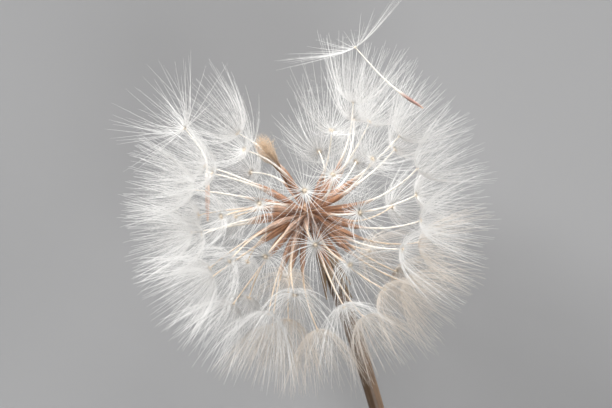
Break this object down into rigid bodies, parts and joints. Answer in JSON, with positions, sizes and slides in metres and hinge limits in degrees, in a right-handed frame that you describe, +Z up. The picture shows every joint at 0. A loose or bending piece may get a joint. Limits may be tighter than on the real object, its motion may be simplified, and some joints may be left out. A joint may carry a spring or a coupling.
{
  "type": "dandelion seed head",
  "caption": "Ripe globe-shaped seed head on a slender cut stem, lying on its side, with ribbed fruits on long curved beaks that carry bowls of fine feathery hairs",
  "frame": {"origin": "Centre of the bounding box's footprint, on the surface that the seed head lies on.", "axes": "+Z up from the surface. +Y runs from the stem's cut end towards the globe, along the longest side. +X completes the right-handed frame."},
  "size_m": [0.0752, 0.1226, 0.0719],
  "materials": {
    "seed": "satin",
    "withered_seed": "matte",
    "stem": "satin",
    "receptacle": "matte",
    "bract": "matte"
  },
  "bodies": {
    "root": {"stem": "stem", "receptacle": "receptacle", "bracts": "bract", "withered_seed": "withered_seed", "seed_01": "seed", "seed_02": "seed", "seed_03": "seed", "seed_04": "seed", "seed_05": "seed", "seed_06": "seed", "seed_07": "seed", "seed_08": "seed", "seed_09": "seed", "seed_10": "seed", "seed_11": "seed", "seed_12": "seed", "seed_13": "seed", "seed_14": "seed", "seed_15": "seed", "seed_16": "seed", "seed_17": "seed", "seed_18": "seed", "seed_19": "seed", "seed_20": "seed", "seed_21": "seed", "seed_22": "seed", "seed_23": "seed", "seed_24": "seed", "seed_25": "seed", "seed_26": "seed", "seed_27": "seed", "seed_28": "seed", "seed_29": "seed", "seed_30": "seed", "seed_31": "seed", "seed_32": "seed", "seed_33": "seed", "seed_34": "seed", "seed_35": "seed", "seed_36": "seed", "seed_37": "seed", "seed_38": "seed", "seed_39": "seed", "seed_40": "seed", "seed_41": "seed", "seed_42": "seed", "seed_43": "seed", "seed_44": "seed", "seed_45": "seed", "seed_46": "seed", "seed_47": "seed", "seed_48": "seed", "seed_49": "seed", "seed_50": "seed", "seed_51": "seed", "seed_52": "seed", "seed_53": "seed", "seed_54": "seed", "caught_seed": "seed", "resting_seed": "seed"}
  },
  "joints": []
}
